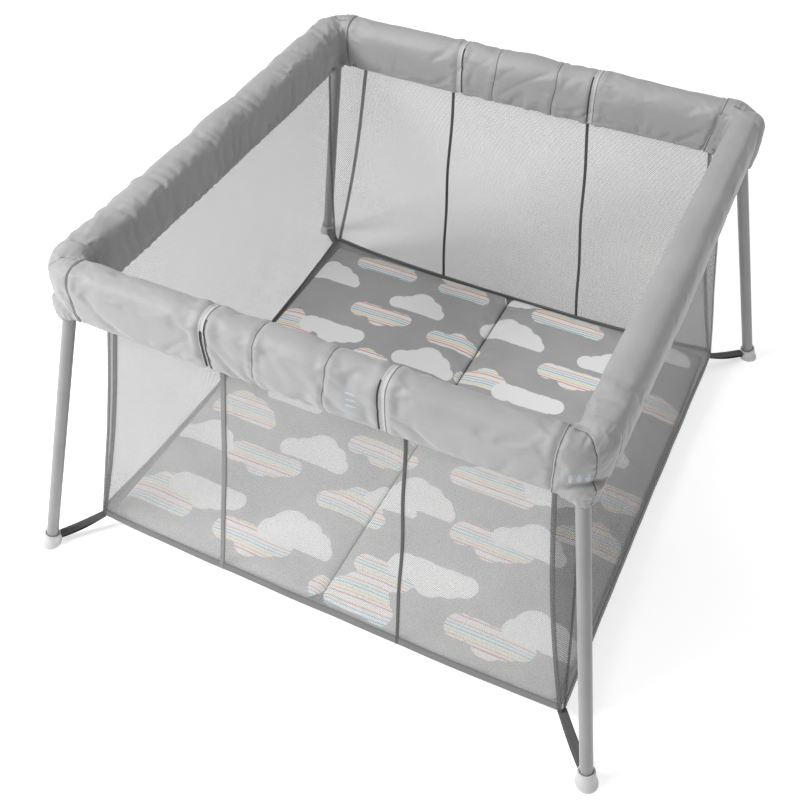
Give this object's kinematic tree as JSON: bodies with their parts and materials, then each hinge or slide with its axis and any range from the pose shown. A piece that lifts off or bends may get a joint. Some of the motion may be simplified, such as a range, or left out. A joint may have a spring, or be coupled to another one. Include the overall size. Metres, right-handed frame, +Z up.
{
  "type": "travel play yard",
  "caption": "Square folding travel play yard: padded rails that break at the centre, splayed tube legs, mesh walls, fabric floor and a folding mattress.",
  "frame": {"origin": "on the ground, at the middle of the rim", "axes": "+X along the front rail to the right, +Y to the back, +Z up"},
  "size_m": [1.2928, 1.3206, 0.759],
  "materials": {
    "cover_fabric": "woven polyester, soft sheen",
    "mesh": "knitted mesh",
    "mattress_fabric": "printed woven cloth",
    "floor_fabric": "woven polyester",
    "webbing": "flat webbing",
    "foot_plastic": "moulded, matt",
    "leg_tube_paint": "satin powder coat",
    "rail_tube_paint": "satin powder coat",
    "pin_steel": "plain",
    "casting_plastic": "moulded, matt",
    "hinge_plastic": "moulded, matt",
    "button_plastic": "moulded, matt"
  },
  "bodies": {
    "front_left_corner": {"front_left_leg_tube": "leg_tube_paint", "front_left_foot_cap": "foot_plastic", "front_left_corner_casting": "casting_plastic", "front_left_pivot_pins": "pin_steel", "front_left_corner_boot": "cover_fabric", "front_left_foot_strap": "webbing", "front_wall": "mesh", "left_wall": "mesh"},
    "front_right_corner": {"front_right_leg_tube": "leg_tube_paint", "front_right_foot_cap": "foot_plastic", "front_right_corner_casting": "casting_plastic", "front_right_pivot_pins": "pin_steel", "front_right_corner_boot": "cover_fabric", "front_right_foot_strap": "webbing", "right_wall": "mesh"},
    "back_right_corner": {"back_right_leg_tube": "leg_tube_paint", "back_right_foot_cap": "foot_plastic", "back_right_corner_casting": "casting_plastic", "back_right_pivot_pins": "pin_steel", "back_right_corner_boot": "cover_fabric", "back_right_foot_strap": "webbing"},
    "back_left_corner": {"back_left_leg_tube": "leg_tube_paint", "back_left_foot_cap": "foot_plastic", "back_left_corner_casting": "casting_plastic", "back_left_pivot_pins": "pin_steel", "back_left_corner_boot": "cover_fabric", "back_left_foot_strap": "webbing", "back_wall": "mesh"},
    "front_rail_left_half": {"front_rail_left_tube": "rail_tube_paint", "front_rail_left_hinge_half": "hinge_plastic", "front_rail_hinge_pin": "pin_steel", "front_rail_cover": "cover_fabric"},
    "front_rail_right_half": {"front_rail_right_tube": "rail_tube_paint", "front_rail_right_hinge_half": "hinge_plastic"},
    "front_rail_release": {"front_rail_release_button": "button_plastic"},
    "back_rail_left_half": {"back_rail_left_tube": "rail_tube_paint", "back_rail_left_hinge_half": "hinge_plastic", "back_rail_hinge_pin": "pin_steel", "back_rail_cover": "cover_fabric"},
    "back_rail_right_half": {"back_rail_right_tube": "rail_tube_paint", "back_rail_right_hinge_half": "hinge_plastic"},
    "back_rail_release": {"back_rail_release_button": "button_plastic"},
    "left_rail_front_half": {"left_rail_front_tube": "rail_tube_paint", "left_rail_front_hinge_half": "hinge_plastic", "left_rail_hinge_pin": "pin_steel", "left_rail_cover": "cover_fabric"},
    "left_rail_back_half": {"left_rail_back_tube": "rail_tube_paint", "left_rail_back_hinge_half": "hinge_plastic"},
    "left_rail_release": {"left_rail_release_button": "button_plastic"},
    "right_rail_front_half": {"right_rail_front_tube": "rail_tube_paint", "right_rail_front_hinge_half": "hinge_plastic", "right_rail_hinge_pin": "pin_steel", "right_rail_cover": "cover_fabric"},
    "right_rail_back_half": {"right_rail_back_tube": "rail_tube_paint", "right_rail_back_hinge_half": "hinge_plastic"},
    "right_rail_release": {"right_rail_release_button": "button_plastic"},
    "base_left": {"floor_sheet_left": "floor_fabric", "mattress_left": "mattress_fabric"},
    "base_right": {"floor_sheet_right": "floor_fabric", "mattress_right": "mattress_fabric"}
  },
  "joints": [
    {"name": "frame_fold", "type": "hinge", "parent": "front_left_corner", "child": "front_rail_left_half", "pos_m": [-0.433, -0.515, 0.728], "axis": [0, 1, 0], "range_deg": [0, 85], "deforming": ["front_wall", "left_wall", "right_wall", "back_wall", "front_rail_cover", "left_rail_cover", "right_rail_cover", "back_rail_cover", "floor_sheet_left", "floor_sheet_right", "mattress_left", "mattress_right", "front_left_corner_boot", "front_right_corner_boot", "back_right_corner_boot", "back_left_corner_boot", "front_left_foot_strap", "front_right_foot_strap", "back_right_foot_strap", "back_left_foot_strap"]},
    {"name": "front_rail_centre_hinge", "type": "hinge", "parent": "front_rail_left_half", "child": "front_rail_right_half", "pos_m": [0, -0.515, 0.746], "axis": [0, 1, 0], "range_deg": [-170, 0]},
    {"name": "front_right_corner_pivot_x", "type": "hinge", "parent": "front_rail_right_half", "child": "front_right_corner", "pos_m": [0.433, -0.515, 0.728], "axis": [0, 1, 0], "range_deg": [0, 85]},
    {"name": "right_rail_front_pivot", "type": "hinge", "parent": "front_right_corner", "child": "right_rail_front_half", "pos_m": [0.493, -0.455, 0.728], "axis": [-1, 0, 0], "range_deg": [0, 85]},
    {"name": "right_rail_centre_hinge", "type": "hinge", "parent": "right_rail_front_half", "child": "right_rail_back_half", "pos_m": [0.493, 0, 0.746], "axis": [-1, 0, 0], "range_deg": [-170, 0]},
    {"name": "back_right_corner_pivot_y", "type": "hinge", "parent": "right_rail_back_half", "child": "back_right_corner", "pos_m": [0.493, 0.455, 0.728], "axis": [-1, 0, 0], "range_deg": [0, 85]},
    {"name": "left_rail_front_pivot", "type": "hinge", "parent": "front_left_corner", "child": "left_rail_front_half", "pos_m": [-0.493, -0.455, 0.728], "axis": [-1, 0, 0], "range_deg": [0, 85]},
    {"name": "left_rail_centre_hinge", "type": "hinge", "parent": "left_rail_front_half", "child": "left_rail_back_half", "pos_m": [-0.493, 0, 0.746], "axis": [-1, 0, 0], "range_deg": [-170, 0]},
    {"name": "back_left_corner_pivot_y", "type": "hinge", "parent": "left_rail_back_half", "child": "back_left_corner", "pos_m": [-0.493, 0.455, 0.728], "axis": [-1, 0, 0], "range_deg": [0, 85]},
    {"name": "back_rail_left_pivot", "type": "hinge", "parent": "back_left_corner", "child": "back_rail_left_half", "pos_m": [-0.433, 0.515, 0.728], "axis": [0, 1, 0], "range_deg": [0, 85]},
    {"name": "back_rail_centre_hinge", "type": "hinge", "parent": "back_rail_left_half", "child": "back_rail_right_half", "pos_m": [0, 0.515, 0.746], "axis": [0, 1, 0], "range_deg": [-170, 0]},
    {"name": "base_left_lift", "type": "hinge", "parent": "front_left_corner", "child": "base_left", "pos_m": [-0.47948, 0, 0.08259], "axis": [0, 1, 0], "range_deg": [-85, 0]},
    {"name": "base_centre_fold", "type": "hinge", "parent": "base_left", "child": "base_right", "pos_m": [0, 0, 0.022], "axis": [0, 1, 0], "range_deg": [0, 170]},
    {"name": "front_rail_release_press", "type": "slide", "parent": "front_rail_left_half", "child": "front_rail_release", "axis": [0, 0, 1], "range_m": [0, 0.002], "stiffness_N_per_m": 400, "springref_m": -0.002},
    {"name": "back_rail_release_press", "type": "slide", "parent": "back_rail_left_half", "child": "back_rail_release", "axis": [0, 0, 1], "range_m": [0, 0.002], "stiffness_N_per_m": 400, "springref_m": -0.002},
    {"name": "left_rail_release_press", "type": "slide", "parent": "left_rail_front_half", "child": "left_rail_release", "axis": [0, 0, 1], "range_m": [0, 0.002], "stiffness_N_per_m": 400, "springref_m": -0.002},
    {"name": "right_rail_release_press", "type": "slide", "parent": "right_rail_front_half", "child": "right_rail_release", "axis": [0, 0, 1], "range_m": [0, 0.002], "stiffness_N_per_m": 400, "springref_m": -0.002}
  ],
  "couplings": [
    {"joint": "front_rail_centre_hinge", "follows": "frame_fold", "ratio": -2},
    {"joint": "front_right_corner_pivot_x", "follows": "frame_fold", "ratio": 1},
    {"joint": "right_rail_front_pivot", "follows": "frame_fold", "ratio": 1},
    {"joint": "right_rail_centre_hinge", "follows": "frame_fold", "ratio": -2},
    {"joint": "back_right_corner_pivot_y", "follows": "frame_fold", "ratio": 1},
    {"joint": "left_rail_front_pivot", "follows": "frame_fold", "ratio": 1},
    {"joint": "left_rail_centre_hinge", "follows": "frame_fold", "ratio": -2},
    {"joint": "back_left_corner_pivot_y", "follows": "frame_fold", "ratio": 1},
    {"joint": "back_rail_left_pivot", "follows": "frame_fold", "ratio": 1},
    {"joint": "back_rail_centre_hinge", "follows": "frame_fold", "ratio": -2},
    {"joint": "base_left_lift", "follows": "frame_fold", "ratio": -1},
    {"joint": "base_centre_fold", "follows": "frame_fold", "ratio": 2}
  ]
}
